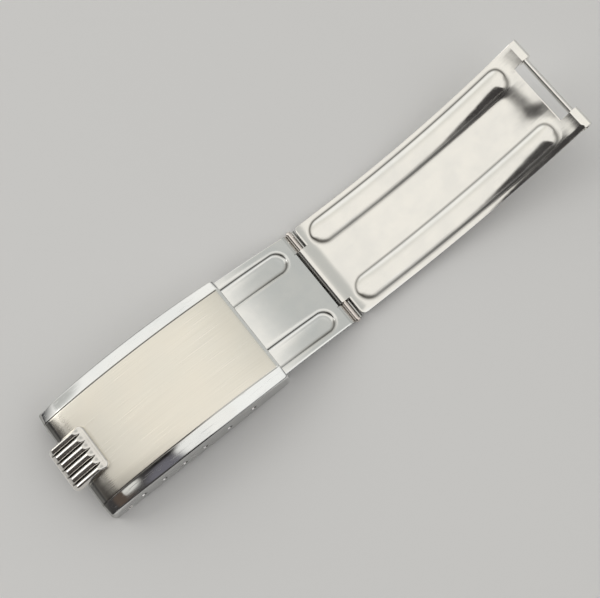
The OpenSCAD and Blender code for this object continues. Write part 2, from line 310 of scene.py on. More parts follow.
def cover_profile(half, inset):
    """Half section of the cover from the middle line outwards: (y, drop) pairs."""
    lean = math.atan(BEVEL_SLOPE)
    first = (TOP_HALF - inset * math.tan(lean / 2), inset)
    outer_y = half - inset
    second = (outer_y, BEVEL_SLOPE * (outer_y - TOP_HALF) + inset / math.cos(lean))
    flat, down = (1.0, 0.0), (math.cos(lean), math.sin(lean))
    face = 0 if inset == 0 else 1
    edge = fillet(first, flat, down, EDGE_ROUNDS[face], 9)
    brim = fillet(second, down, (0.0, 1.0), BRIM_ROUNDS[face], 7)
    top = [(edge[0][0] * t, edge[0][1]) for t in TOP_STEPS]
    a, b = edge[-1], brim[0]
    bevel = [(a[0] + (b[0] - a[0]) * t, a[1] + (b[1] - a[1]) * t) for t in BEVEL_STEPS]
    return top + edge + bevel + brim


def crown(y):
    """How far the outer face has sunk towards the score line on each side."""
    return CROWN_DROP * min(1.0, max(0.0, (abs(y) - CROWN_START) / (TOP_HALF - CROWN_START))) ** 2


def cover_row(x_out, ref_out, x_in, ref_in, width_x, pull, lip):
    """Outer and inner points across the cover at one station.

    The x and the reference height are given for each face. width_x is where the width is
    taken, pull tucks the outer face in at the rim, and lip is the share of the lip's depth.
    """
    half = cover_half(width_x)
    bottom = wall_bottom(width_x)
    rows = []
    for inset, x, ref in ((0.0, x_out, ref_out), (SHEET, x_in, ref_in)):
        tuck = pull if inset == 0 else 0.0
        side = []
        for y, drop in cover_profile(half, inset):
            top = ref - drop - tuck
            if inset == 0:
                u = min(1.0, max(0.0, (y - TOP_HALF) / (half - TOP_HALF)))
                top -= SCORE_DEPTH * math.exp(-(((y - TOP_HALF) / SCORE_WIDTH) ** 2))
                top += BEVEL_CROWN * u * (1 - u) - crown(y)
            if lip > 0:
                fade = 1 - min(1.0, abs(y) / (half - inset)) ** 10
                top -= lip * (LIP_DEPTH - NOSE_DROP) * fade
            side.append((x, y * (1 - 0.5 * tuck / half), top))
        _, wall_y, wall_top = side[-1]
        side += [(x, wall_y, wall_top + (bottom - wall_top) * t) for t in WALL_STEPS]
        mirrored = [(px, -py, pz) for px, py, pz in reversed(side[1:])]
        rows.append(mirrored + side)
    return rows


def cover_shell(material):
    """The cover: one sheet swept over the arch, the rounded nose and the lip."""
    stations = [(0.0, NOSE_Z, SHEET, NOSE_Z, 0.0, 0.0, share) for share in LIP_STEPS]
    for k in range(NOSE_ROWS + 1):
        t = math.pi / 2 + (ROLL_TILT - math.pi / 2) * k / NOSE_ROWS
        inner_r = LIP_ROUND - SHEET
        x_out = LIP_ROUND - LIP_ROUND * math.sin(t)
        x_in = LIP_ROUND - inner_r * math.sin(t)
        z_out = NOSE_Z + LIP_ROUND * math.cos(t)
        z_in = NOSE_Z + inner_r * math.cos(t) + SHEET
        stations.append((x_out, z_out, x_in, z_in, x_out, 0.0, 0.0))
    grid = lines((ROLL_X, 1.2, 0.12), (1.2, 4.0, 0.2), (4.0, 28.2, 0.45), (28.2, RIM_START, 0.25))
    for x in grid[1:]:
        z = cover_arch(x) - roll_off(x)
        stations.append((x, z, x, z, x, 0.0, 0.0))
    for k in range(1, RIM_ROWS + 1):
        t = math.sin(math.pi / 2 * k / RIM_ROWS)
        x = RIM_START + (COVER_LENGTH - RIM_START) * t
        pull = RIM_PULL * (1 - math.sqrt(max(0.0, 1 - t * t)))
        stations.append((x, cover_arch(x), x, cover_arch(x), x, pull, 0.0))
    outer, inner = [], []
    for station in stations:
        a, b = cover_row(*station)
        outer.append([(x + SHIFT_X, y, z) for x, y, z in a])
        inner.append([(x + SHIFT_X, y, z) for x, y, z in b])
    lip_rows, wall, cells = len(LIP_STEPS), len(WALL_STEPS), len(outer[0]) - 1
    mask = []
    for i in range(len(outer) - 1):
        mask.append([i >= lip_rows or wall <= j < cells - wall for j in range(cells)])
    verts, faces, _ = sheet_solid(outer, inner, mask)
    obj = new_object(
        "cover_shell_sheet", verts, faces, material, "cover", ["cover_shell"], 40
    )
    drill_walls(obj)


def drill_walls(obj):
    """Cuts the adjusting holes, slightly countersunk, and the hinge pin holes."""
    cutters = []
    for x in ADJUST_X:
        sunk_y, end_y = cover_half(x) - SINK_DEPTH, cover_half(x) + 1
        r = ADJUST_D / 2
        wide = r + SINK_FLARE
        shape = ((-end_y, wide), (-sunk_y, r), (sunk_y, r), (end_y, wide))
        cutters.append(bare_solid("cut", *lathe(x + SHIFT_X, ADJUST_Z, shape, 40)))
    end_y = COVER_HALF_WIDTH + COVER_BELLY + 1
    shape = ((-end_y, PIN_R), (end_y, PIN_R))
    cutters.append(bare_solid("cut", *lathe(HINGE_X + SHIFT_X, HINGE_Z, shape, 40)))
    for cutter in cutters:
        modifier = obj.modifiers.new("drill", "BOOLEAN")
        modifier.operation = "DIFFERENCE"
        modifier.solver = "EXACT"
        modifier.object = cutter
        depsgraph = bpy.context.evaluated_depsgraph_get()
        result = bpy.data.meshes.new_from_object(obj.evaluated_get(depsgraph))
        obj.modifiers.clear()
        obj.data = result
    for cutter in cutters:
        bpy.data.objects.remove(cutter)
    shade(obj.data, 40)


def lathe(x, z, shape, count):
    """Points and faces of a closed form turned about an axis along Y, from (y, radius) pairs."""
    verts, faces = [], []
    for y, r in shape:
        for k in range(count):
            a = 2 * math.pi * k / count
            verts.append((x + r * math.cos(a), y, z + r * math.sin(a)))
    for i in range(len(shape) - 1):
        for k in range(count):
            n = (k + 1) % count
            faces.append([i * count + k, i * count + n, (i + 1) * count + n, (i + 1) * count + k])
    faces.append(list(range(count)))
    faces.append([(len(shape) - 1) * count + k for k in reversed(range(count))])
    return verts, faces


# ---------------- lift tab


def lift_tab(material):
    """The lift tab: a rounded plate with straight parallel ridges."""
    half = TAB_WIDTH / 2
    end = TAB_LENGTH - TAB_OVERHANG
    pitch = (TAB_WIDTH - 2 * TAB_MARGIN) / (TAB_RIDGES - 1)
    xs = lines((-TAB_OVERHANG, end, TAB_GRID))
    ys = lines((-half, half, TAB_GRID))

    def plan(x, y):
        """Squeezes the rectangle's edge into rounded corners."""
        dx = max(0.0, -TAB_OVERHANG + TAB_CORNER - x, x - end + TAB_CORNER)
        dy = max(0.0, abs(y) - half + TAB_CORNER)
        if dx <= 0 or dy <= 0:
            return x, y
        scale = max(dx, dy) / math.hypot(dx, dy)
        sx = -1 if x < 0 else 1
        sy = -1 if y < 0 else 1
        return x + sx * (dx * scale - dx), y + sy * (dy * scale - dy)

    def edge_distance(x, y):
        """Distance inside the rounded outline."""
        dx = min(x + TAB_OVERHANG, end - x)
        dy = half - abs(y)
        if dx < TAB_CORNER and dy < TAB_CORNER:
            return TAB_CORNER - math.hypot(TAB_CORNER - dx, TAB_CORNER - dy)
        return min(dx, dy)

    def ridge_height(x, y, inside):
        """Height of the ridges and, below the plate's face, depth of the flutes between them."""
        k = max(0, min(TAB_RIDGES - 1, round((y + half - TAB_MARGIN) / pitch)))
        off = (y - (k * pitch - half + TAB_MARGIN)) / (pitch / 2)
        bump = math.sqrt(max(0.0, 1 - min(1.0, abs(off)) ** 2.2))
        front = (x + TAB_OVERHANG - 0.12) / 0.55
        along = float(smooth(min(front, (end - 0.55 - x) / 1.1)))
        sunk = float(smooth(min(front, (end - 0.75 - x) / 1.3)))
        ridge = TAB_RIDGE_HEIGHT * bump * along - TAB_FLUTE_DEPTH * (1 - bump) * sunk
        return ridge * float(smooth((inside - 0.05) / 0.3))

    top, bottom = [], []
    for x in xs:
        row_top, row_bottom = [], []
        for y in ys:
            px, py = plan(x, y)
            d = max(0.0, edge_distance(px, py))
            rounding = math.sqrt(1 - (1 - min(1.0, d / TAB_BRIM)) ** 2)
            height = TAB_PLATE * (TAB_EDGE_SHARE + (1 - TAB_EDGE_SHARE) * rounding)
            base = cover_arch(px)
            row_top.append((px + SHIFT_X, py, base + height + ridge_height(px, py, d)))
            in_front = max(COVER_HEIGHT - 0.02, base - 0.04)
            under = base - TAB_SINK if px > LIP_ROUND else in_front
            row_bottom.append((px + SHIFT_X, py, under))
        top.append(row_top)
        bottom.append(row_bottom)
    mask = [[True] * (len(ys) - 1) for _ in range(len(xs) - 1)]
    verts, faces, _ = sheet_solid(top, bottom, mask)
    new_object(
        "lift_tab_fluted", verts, faces, material, "cover", ["lift_tab"], 60
    )


# ---------------- pins


def pin(name, x, z, size, radius, body, nodes, material):
    """A pin with domed ends, a hair thinner between them."""
    half, dome = size
    left = []
    for k in range(7):
        a = math.pi / 2 * k / 6
        r = max(0.02, radius * math.sin(a * 0.98 + 0.02))
        left.append((-half + dome * (1 - math.cos(a)), r))
    left += [(-half + dome + 0.25, radius), (-half + dome + 0.3, radius * 0.985)]
    right = [(-y, r) for y, r in reversed(left)]
    verts, faces = lathe(x, z, left + right, 48)
    new_object(name, verts, faces, material, body, nodes, 50)


# ---------------- blades


def outside(x, y, start, end, centre, width, fullness=2.0):
    """Distance outside a bar with round ends, the far one fuller; negative inside it."""
    r = width / 2
    dx, dy = max(0.0, start + r - x, x - end + r), abs(abs(y) - centre)
    power = fullness if x > start + width else 2.0
    return (dx**power + dy**power) ** (1 / power) - r


def pan_gap(x, y):
    """Distance outside the outline of the nearest pan; the one on the -Y side sits further out."""
    centre = PAN_OFFSET[0] if y > 0 else PAN_OFFSET[1]
    return outside(-x, y, PAN_START, PAN_START + PAN_LENGTH, centre, PAN_WIDTH)


def pan_depth(gap):
    """Depth of a drawn pan with a hollow floor by the distance outside its outline."""
    if gap > PAN_DRAW:
        return 0.0
    if gap > 0:
        return PAN_SHOULDER * (1 - gap / PAN_DRAW) ** 2
    s = min(1.0, -gap / PAN_WALL)
    wall = (PAN_DEPTH - PAN_FLOOR - PAN_SHOULDER) * (1 - (1 - s) ** 3)
    if s < 1:
        return PAN_SHOULDER + wall
    reach = PAN_WIDTH / 2
    return PAN_DEPTH - PAN_FLOOR * ((gap + reach) / (reach - PAN_WALL)) ** 2


def rib_gap(x, y):
    """Distance outside the outline of the nearest rib."""
    return outside(x, y, RIB_START, RIB_START + RIB_LENGTH, RIB_OFFSET, RIB_WIDTH, 2.7)


def rib_height(gap):
    """Height of a pressed rib by the distance outside its outline."""
    if gap > 0:
        return RIB_FOOT * math.exp(-gap / 0.3)
    rho = 1 + gap / (RIB_WIDTH / 2)
    return RIB_FOOT + (RIB_HEIGHT - RIB_FOOT) * max(0.0, 1 - rho**2) ** 0.75


def rib_rise(x, y):
    """Height of the ribs at a point, softened, and lower by the middle hinge."""
    total = 0.0
    for dx, dy, weight in RIB_SOFTENING:
        total += weight * rib_height(rib_gap(x + dx, y + dy))
    return total * (0.6 + 0.4 * float(smooth((x - RIB_START) / 4.5)))


def inner_place(x, y, z):
    """From the inner blade's chord frame to the row frame."""
    a = math.atan((HINGE_Z - MIDDLE_Z) / (MIDDLE_X - HINGE_X))
    c, s = math.cos(a), math.sin(a)
    return (x * c + z * s + MIDDLE_X + SHIFT_X, y, -x * s + z * c + MIDDLE_Z)


def outer_place(x, y, z):
    """From the outer blade's chord frame to the row frame."""
    c, s = math.cos(OUTER_RISE), math.sin(OUTER_RISE)
    return (x * c - z * s + MIDDLE_X + SHIFT_X, y, x * s + z * c + MIDDLE_Z)


def curl(cx, start, r_first, count):
    """Rows (outer x, z, inner x, z) that roll a sheet's end into a knuckle about an axis."""
    rows = []
    for k in range(1, count + 1):
        f = k / count
        a = start + KNUCKLE_TURN * f
        c, s = math.cos(a), math.sin(a)
        r = r_first + (KNUCKLE_R - r_first) * min(1.0, f * 5)
        rows.append((cx + r * c, r * s, cx + BORE_R * c, BORE_R * s))
    return rows


def box_loop(start):
    """Rows (outer x, z, inner x, z) of a squarish roll with a flat top about the link pin."""
    rows = []
    for k in range(1, LOOP_ROWS + 1):
        a = start + LOOP_TURN * k / LOOP_ROWS
        flat = LOOP_FLAT / max(0.2, math.sin(a))
        cap = 0.8 + 0.26 * float(smooth((math.degrees(a) - 5) / 40))
        r = (flat**-16 + cap**-16) ** (-1 / 16)
        c, s = math.cos(a), math.sin(a)
        rows.append((OUTER_LENGTH + r * c, r * s, OUTER_LENGTH + LINK_PIN_R * c, LINK_PIN_R * s))
    return rows


def always(value):
    """A function of y that has one value."""
    return lambda y: value


def fixed(ox, oz, ix, iz):
    """Row points that are the same at every y."""
    return always(((ox, oz), (ix, iz)))


def beside(at_sides, at_middle):
    """A function of y that has one value on the side knuckles and another between them."""
    return lambda y: at_sides if abs(y) >= SIDE_KNUCKLE_IN else at_middle(y)


def row(x, band, at, painted_shade=always(0.0), below=0.0):
    """A blade's row: its x for the width, the band of its cells, its points and painted shade by
    y.

    below is the painted shade of the lower face.
    """
    return {"x": x, "band": band, "at": at, "painted_shade": painted_shade, "below": below}


def bent(ax, az, t, outer, inner, side):
    """Both faces' points on a bent sheet whose axis is below it (side 1) or above it (-1)."""
    s, c = math.sin(t), side * math.cos(t)
    return (ax + outer * s, az + outer * c), (ax + inner * s, az + inner * c)


def blade_object(name, rows, ys, width_at, place, bands, material, body, nodes):
    """A blade from its rows; bands give the y spans that exist in each row's cells."""
    top, bottom, mask, shade_grids = [], [], [], ([], [])
    for station in rows:
        a, b, c = [], [], []
        for y in ys:
            yy = width_at(station["x"], y)
            p, q = station["at"](yy)
            a.append(place(p[0], yy, p[1]))
            b.append(place(q[0], yy, q[1]))
            c.append(station["painted_shade"](yy))
        top.append(a)
        bottom.append(b)
        shade_grids[0].append(c)
        shade_grids[1].append([station["below"]] * len(ys))
    middles = [(low + high) / 2 for low, high in zip(ys, ys[1:])]
    for station in rows[:-1]:
        spans = bands[station["band"]]
        mask.append([any(lo < middle < hi for lo, hi in spans) for middle in middles])
    verts, faces, painted_shade = sheet_solid(top, bottom, mask, shade_grids)
    obj = new_object(name, verts, faces, material, body, nodes, 40, painted_shade)
    edge = obj.modifiers.new("edge", "BEVEL")
    edge.width = 0.08 * MM
    edge.segments = 2
    edge.limit_method = "ANGLE"
    edge.angle_limit = math.radians(50)
    edge.use_clamp_overlap = True
    weighted = obj.modifiers.new("normals", "WEIGHTED_NORMAL")
    weighted.keep_sharp = False


def inner_half(x):
    """Half width of the inner blade, which tapers towards the middle hinge."""
    if x < -MIDDLE_REACH:
        return INNER_HALF
    return OUTER_HALF - (INNER_HALF - OUTER_HALF) * x / MIDDLE_REACH


def inner_painted_shade(x, y):
    """Painted shade and dark reflection in the crease round a pan: most on its +Y side, least
    where its end turns.
    """
    centre = PAN_OFFSET[0] if y > 0 else -PAN_OFFSET[1]
    far = float(smooth((centre - y) / 0.8))
    past = max(0.0, PAN_START + PAN_WIDTH / 2 + x)
    reach = max(0.01, math.hypot(past, y - centre))
    side = (y - centre) / reach
    near_hinge = float(smooth((x + 14) / 9))
    middle = -0.07 - 0.11 * far
    wide = 0.14 + 0.05 * past / reach + 0.08 * far * near_hinge
    strength = 0.2 + 0.7 * float(smooth(side / 0.4))
    strength += (0.4 + 0.28 * near_hinge) * float(smooth((-side - 0.1) / 0.4))
    return strength * math.exp(-(((pan_gap(x, y) - middle) / wide) ** 2))


def inner_blade(material):
    """The inner blade: sheet with two pans, proud side knuckles and the cover knuckle."""
    chord = math.hypot(MIDDLE_X - HINGE_X, HINGE_Z - MIDDLE_Z)
    c = math.hypot(chord, LIFT) / 2
    d = math.sqrt(BEND_RADIUS**2 - c**2)
    a = math.atan(LIFT / chord)
    ax, az = -c * math.cos(a) - d * math.sin(a), c * math.sin(a) - d * math.cos(a)

    def sheet_at(x):
        t = math.asin((x - ax) / BEND_RADIUS)

        def at(y):
            depth = pan_depth(pan_gap(x, y))
            shoulder = 0.06 * float(smooth((abs(y) - inner_half(x) + 0.25) / 0.25)) ** 2
            up = SHEET / 2 - depth - shoulder
            down = -SHEET / 2 - PAN_BELOW * depth / PAN_DEPTH
            return bent(ax, az, t, BEND_RADIUS + up, BEND_RADIUS + down, 1)

        return at

    foot = math.atan2(-az, -chord - ax)
    reach = math.hypot(-chord - ax, az)
    rolled = curl(-chord, foot, BEND_RADIUS + SHEET / 2 - reach, 30)
    rows = [row(-chord, "cover", fixed(*r)) for r in reversed(rolled)]
    foot_x = -chord + 0.02
    for x in lines((foot_x, -chord + EDGE_GAP, 0.25))[:-1]:
        rows.append(row(x, "cover", sheet_at(x)))
    grid = lines(
        (-chord + EDGE_GAP, -33.6, 0.25), (-33.6, -31.7, 0.11), (-31.7, -14.0, 0.6),
        (-14.0, -4.3, 0.4), (-4.3, -2.9, 0.08), (-2.9, -2.4, 0.045), (-2.4, -1.4, 0.14),
        (-1.4, -EDGE_GAP, 0.1)
    )
    for x in grid:
        rows.append(row(x, "full", sheet_at(x), partial(inner_painted_shade, x)))
    rows[-1]["band"] = "tongue"
    rows += proud_knuckle(ax, az, sheet_at)
    cuts = (COVER_KNUCKLE_HALF, CENTRE_KNUCKLE_HALF, SIDE_KNUCKLE_IN, OUTER_HALF)
    ys = blade_lines(PAN_OFFSET, PAN_WIDTH, cuts, INNER_HALF)

    def width_at(x, y):
        """Squeezes the outermost lines into the blade's width."""
        past = abs(y) - STRAIGHT_HALF
        if past <= 0:
            return y
        room = inner_half(x) - STRAIGHT_HALF
        return math.copysign(STRAIGHT_HALF + past * room / (INNER_HALF - STRAIGHT_HALF), y)

    bands = {
        "cover": [(-COVER_KNUCKLE_HALF, COVER_KNUCKLE_HALF)],
        "full": [(-INNER_HALF, INNER_HALF)],
        "tongue": [
            (-INNER_HALF, -SIDE_KNUCKLE_IN), (-CENTRE_KNUCKLE_HALF, CENTRE_KNUCKLE_HALF),
            (SIDE_KNUCKLE_IN, INNER_HALF),
        ],
        "middle": [(-INNER_HALF, -SIDE_KNUCKLE_IN), (SIDE_KNUCKLE_IN, INNER_HALF)],
    }
    blade_object(
        "inner_blade_sheet", rows, ys, width_at, inner_place, bands, material,
        "inner", ["inner_blade"],
    )


def proud_knuckle(ax, az, sheet_at):
    """Rows from the inner blade's edge down under the middle pin and up past it, an open hook."""
    start_x = -EDGE_GAP
    t = math.asin((start_x - ax) / BEND_RADIUS)
    p0 = Vector((ax + BEND_RADIUS * math.sin(t), az + BEND_RADIUS * math.cos(t)))
    d0 = Vector((math.cos(t), -math.sin(t)))
    middle = (BORE_R + HOOK_R) / 2
    p3 = Vector((middle * math.cos(HOOK_BEGIN), middle * math.sin(HOOK_BEGIN)))
    d3 = Vector((-math.sin(HOOK_BEGIN), math.cos(HOOK_BEGIN)))
    p1, p2 = p0 + d0 * 0.3, p3 - d3 * 0.3
    rows = []
    # Down to the hook along a smooth curve, while the sheet between the hooks runs on.
    for k in range(1, HOOK_DROP_ROWS + 1):
        s = k / HOOK_DROP_ROWS
        p = p0 * (1 - s) ** 3 + p1 * 3 * s * (1 - s) ** 2 + p2 * 3 * s * s * (1 - s) + p3 * s**3
        v = (p1 - p0) * 3 * (1 - s) ** 2 + (p2 - p1) * 6 * s * (1 - s) + (p3 - p2) * 3 * s * s
        v.normalize()
        n = Vector((-v.y, v.x)) * (SHEET / 2)
        at = beside((tuple(p + n), tuple(p - n)), sheet_at(start_x + TONGUE_REACH * s))
        last = k == HOOK_DROP_ROWS
        # Painted shade: a little on the hooks, and a dark line at the far edge of the sheet
        # between them.
        painted_shade = beside(0.2, always(0.9 if last else 0.0))
        rows.append(row(0.0, "middle" if last else "tongue", at, painted_shade))
    for k in range(1, HOOK_ROWS + 1):
        a = HOOK_BEGIN + HOOK_TURN * k / HOOK_ROWS
        c, s = math.cos(a), math.sin(a)
        at = fixed(BORE_R * c, BORE_R * s, HOOK_R * c, HOOK_R * s)
        # Painted shade on the hooks: a little on the face towards the pin, dark on the outer face.
        rows.append(row(0.0, "middle", at, always(0.2), 0.9))
    return rows


def blade_lines(offsets, width, cuts, half):
    """Y lines of a blade, fine across its two pans or ribs."""
    values = []
    for side, offset in zip((1, -1), offsets):
        near, far = offset - width / 2, offset + width / 2
        values += [side * v for v in lines(
            (0.0, near - 0.8, 0.6), (near - 0.8, near - 0.1, 0.12),
            (near - 0.1, near + 0.45, 0.045), (near + 0.45, far - 0.45, 0.11),
            (far - 0.45, far + 0.1, 0.045), (far + 0.1, half, 0.1),
            *[(c, c, 1) for c in cuts]
        )]
    return lines(*[(v, v, 1) for v in values])


def valley(x):
    """Depth of the shallow valley behind the centre knuckle."""
    return VALLEY_DEPTH * float(smooth((x - 0.2) / 2.0) * smooth((5.0 - x) / 2.8))


def swell(x, y):
    """Height of the slight swells by the slot between the loops and on the -Y finger."""
    by_slot = SLOT_SWELL * math.exp(-(((x - 36.9) / 1.9) ** 2))
    by_slot *= float(smooth((y + 2.6) / 2.0) * smooth((4.4 - y) / 1.2))
    finger = FINGER_SWELL * math.exp(-(((x - 37.3) / 1.2) ** 2))
    return by_slot + finger * float(smooth((-y - 3.8) / 2.4))


def rolled_edge(y):
    """How far the upper face is rolled off at the long edges, more on the -Y side."""
    edge = max(0.0, abs(y) - OUTER_HALF + EDGE_WIDTH) / EDGE_WIDTH
    return EDGE_DEPTHS[0 if y > 0 else 1] * edge**2


def worn_plate(x, y):
    """How far the corner plates' edge by the middle hinge is worn down."""
    if abs(y) <= CENTRE_KNUCKLE_HALF:
        return 0.0
    near = max(0.0, (PLATE_START + WORN_REACH - x) / WORN_REACH)
    return min(WORN_DEPTH, WORN_DEPTH * near**2)


def outer_painted_shade(x, y):
    """Painted shade and dark reflection in the crease round a rib: wider on its -Y side, most
    round its hinge end.
    """
    centre = math.copysign(RIB_OFFSET, y)
    far = float(smooth((centre - y) / 0.8 + 0.3))
    past = max(0.0, RIB_START + RIB_WIDTH / 2 - x)
    end = past / max(0.01, math.hypot(past, y - centre))
    end *= float(smooth((centre + 0.9 - y) / 1.2))
    middle, wide = -0.16 * far, 0.17 + 0.13 * far
    near = 0.85 if y > 0 else 0.65
    strength = near + (0.72 - near) * far + 0.25 * end
    return strength * math.exp(-(((rib_gap(x, y) - middle) / wide) ** 2))


def outer_blade(material):
    """The outer blade: sheet with two hollow ribs, centre knuckle and link loops."""
    ax, az = OUTER_LENGTH / 2, LIFT + math.sqrt(BEND_RADIUS**2 - (OUTER_LENGTH / 2) ** 2)

    def sheet_at(x):
        t = math.asin((x - ax) / BEND_RADIUS)

        def at(y):
            bump, dip, rise = rib_rise(x, y), valley(x), swell(x, y)
            up = SHEET / 2 + bump - dip + rise - rolled_edge(y) - worn_plate(x, y)
            down = -SHEET / 2 + bump * 0.96 - dip + rise
            return bent(ax, az, t, BEND_RADIUS - up, BEND_RADIUS - down, -1)

        return at

    rows = []
    first = math.hypot(ax, az) - (BEND_RADIUS - SHEET / 2)
    for r in reversed(curl(0.0, math.atan2(az, ax), first, 34)):
        side = math.degrees(math.atan2(r[1], r[0])) % 360
        # Painted shade: a dark line along the centre knuckle where it turns through about 165
        # degrees, on its side towards the inner blade.
        painted_shade = always(0.9 * math.exp(-(((side - 165) / 16) ** 2)))
        rows.append(row(PLATE_START, "knuckle", fixed(*r), painted_shade))
    foot_x = BEND_RADIUS * math.sin(math.atan2(-ax, az)) + ax
    for x in lines((foot_x, PLATE_START, 0.1))[:-1]:
        rows.append(row(PLATE_START, "knuckle", sheet_at(x)))
    grid = lines(
        (PLATE_START, 2.15, 0.07), (2.15, 2.65, 0.045), (2.65, 4.6, 0.08), (4.6, 33.0, 0.45),
        (33.0, 34.6, 0.2), (34.6, 36.2, 0.08), (36.2, 36.7, 0.045),
        (36.7, OUTER_LENGTH - LINK_GAP, 0.15)
    )
    for x in grid:
        rows.append(row(x, "full", sheet_at(x), partial(outer_painted_shade, x)))
    rows[-1]["band"] = "loops"
    for x in lines((OUTER_LENGTH - LINK_GAP, OUTER_LENGTH - foot_x, 0.2))[1:]:
        rows.append(row(x, "loops", sheet_at(x)))
    for r in box_loop(math.atan2(az, ax - OUTER_LENGTH)):
        rows.append(row(OUTER_LENGTH, "loops", fixed(*r)))
    cuts = (CENTRE_KNUCKLE_HALF, FINGER_IN, OUTER_HALF - 1)
    ys = blade_lines((RIB_OFFSET,) * 2, RIB_WIDTH, cuts, OUTER_HALF)

    def width_at(x, y):
        """Rounds the plates' corners by the middle hinge."""
        keep = OUTER_HALF - PLATE_CORNER
        if abs(y) <= keep or x > PLATE_START + PLATE_CORNER:
            return y
        room = math.sqrt(max(0.0, 1 - (1 - (x - PLATE_START) / PLATE_CORNER) ** 2))
        return math.copysign(keep + (abs(y) - keep) * room, y)

    bands = {
        "knuckle": [(-CENTRE_KNUCKLE_HALF, CENTRE_KNUCKLE_HALF)],
        "full": [(-OUTER_HALF, OUTER_HALF)],
        "loops": [(-OUTER_HALF, -FINGER_IN), (FINGER_IN, OUTER_HALF)],
    }
    blade_object(
        "outer_blade_sheet", rows, ys, width_at, outer_place, bands, material,
        "outer", ["outer_blade"],
    )


# ---------------- materials

# Colours of painted shade, of the cover's brushed top, its streaks, bevels, and of its walls,
# darker as painted shade.
BLADE_PAINTED_SHADE, COVER_PAINTED_SHADE = (0.07, 0.065, 0.055), (0.07, 0.06, 0.05)
COVER_WARM, COVER_STREAK = ((0.89, 0.85, 0.76), (0.87, 0.84, 0.76)), (0.55, 0.52, 0.46)
COVER_BRIGHT, COVER_WALL_SHADE = ((0.87, 0.87, 0.85), (0.82, 0.83, 0.82)), (0.56, 0.56, 0.55)
# How much rougher a hairline scratch is than the polish.
HAIRLINE_HAZE = 0.5


class Nodes:
    """Adds and links shader nodes."""

    def __init__(self, tree):
        self.tree = tree

    @property
    def coord(self):
        """The point on the piece, in metres in the row frame."""
        if "place" not in self.tree.nodes:
            self.tree.nodes.new("ShaderNodeTexCoord").name = "place"
        return self.tree.nodes["place"].outputs["Object"]

    def add(self, kind, **values):
        """A new node, from the values of its inputs and settings."""
        node = self.tree.nodes.new(kind)
        for key, value in values.items():
            if key in node.inputs:
                self.feed(node.inputs[key], value)
            else:
                setattr(node, key, value)
        return node

    def feed(self, socket, value):
        """Links a socket to an input, or sets the input's value."""
        if isinstance(value, bpy.types.NodeSocket):
            self.tree.links.new(value, socket)
        else:
            socket.default_value = value

    def stretch(self, scale, turn=0.0):
        """The point scaled along each axis, 1000 for mm, after a turn about Z."""
        node = self.tree.nodes.new("ShaderNodeMapping")
        node.inputs["Scale"].default_value = scale
        node.inputs["Rotation"].default_value = (0, 0, turn)
        self.tree.links.new(self.coord, node.inputs["Vector"])
        return node.outputs[0]

    def noise(self, vector, scale, detail=2.0, roughness=0.5):
        """Noise between 0 and 1."""
        node = self.add("ShaderNodeTexNoise", Scale=scale, Detail=detail, Roughness=roughness)
        self.tree.links.new(vector, node.inputs["Vector"])
        return node.outputs["Fac"]

    def cloud(self, scale, detail):
        """Noise that is the same along every axis, by a scale per mm."""
        return self.noise(self.stretch((1000, 1000, 1000)), scale, detail)

    def ramp(self, value, low, high, first=0.0, last=1.0):
        """A straight run between two limits, level past them."""
        node = self.tree.nodes.new("ShaderNodeMapRange")
        node.clamp = True
        self.feed(node.inputs["Value"], value)
        limits = {"From Min": low, "From Max": high, "To Min": first, "To Max": last}
        for name, limit in limits.items():
            node.inputs[name].default_value = limit
        return node.outputs["Result"]

    def span(self, value, low, high, first=0.0, last=1.0):
        """A ramp between two limits in mm."""
        return self.ramp(value, low * MM, high * MM, first, last)

    def line(self, value, centre, core, edge, strength):
        """A strength within the core about a centre, 0 past the edge, all in mm."""
        off = self.math("ABSOLUTE", self.math("SUBTRACT", value, centre * MM), 0.0)
        return self.span(off, core, edge, strength, 0.0)

    def math(self, operation, a, b):
        """The result of an operation on two values."""
        node = self.tree.nodes.new("ShaderNodeMath")
        node.operation = operation
        self.feed(node.inputs[0], a)
        self.feed(node.inputs[1], b)
        return node.outputs[0]

    def times(self, first, *others):
        """The product of values, from left to right."""
        for other in others:
            first = self.math("MULTIPLY", first, other)
        return first

    def mix(self, factor, a, b):
        """A colour between two colours."""
        node = self.tree.nodes.new("ShaderNodeMix")
        node.data_type = "RGBA"
        self.feed(node.inputs["Factor"], factor)
        for socket, value in ((node.inputs[6], a), (node.inputs[7], b)):
            if isinstance(value, tuple):
                socket.default_value = (*value, 1.0)
            else:
                self.feed(socket, value)
        return node.outputs[2]


def metal(name):
    """A new metal material: its node helper and its Principled shader."""
    material = bpy.data.materials.new(name)
    material.use_nodes = True
    tree = material.node_tree
    shader = tree.nodes["Principled BSDF"]
    shader.inputs["Metallic"].default_value = 1.0
    return material, Nodes(tree), shader


def scratches(n, density):
    """Sparse hairline scratches in a few directions, from 0 up to the density."""
    total = None
    for turn, across in ((0.5, 9000), (-0.9, 11000), (1.9, 8000), (0.1, 12000)):
        streak = n.ramp(n.noise(n.stretch((350, across, 1000), turn), 1.0, 0.0), 0.74, 0.80)
        total = streak if total is None else n.math("MAXIMUM", total, streak)
    return n.times(total, density)


def crease_shade(n, reach):
    """Painted shade where other faces of the piece lie close, within a reach in mm, from ambient
    occlusion.
    """
    kind = "ShaderNodeAmbientOcclusion"
    cavity = n.add(kind, Distance=reach * MM, samples=16, only_local=True)
    return n.ramp(cavity.outputs["AO"], 0.25, 0.7, 0.85, 0.0)


def feed_metal(n, shader, tone, rough, height, strength, depth):
    """Feeds colour, roughness and a bump, its depth in mm, into a metal's shader."""
    n.feed(shader.inputs["Base Color"], tone)
    n.feed(shader.inputs["Roughness"], rough)
    bump = n.add("ShaderNodeBump", Strength=strength, Distance=depth * MM)
    n.feed(bump.inputs["Height"], height)
    n.feed(shader.inputs["Normal"], bump.outputs["Normal"])


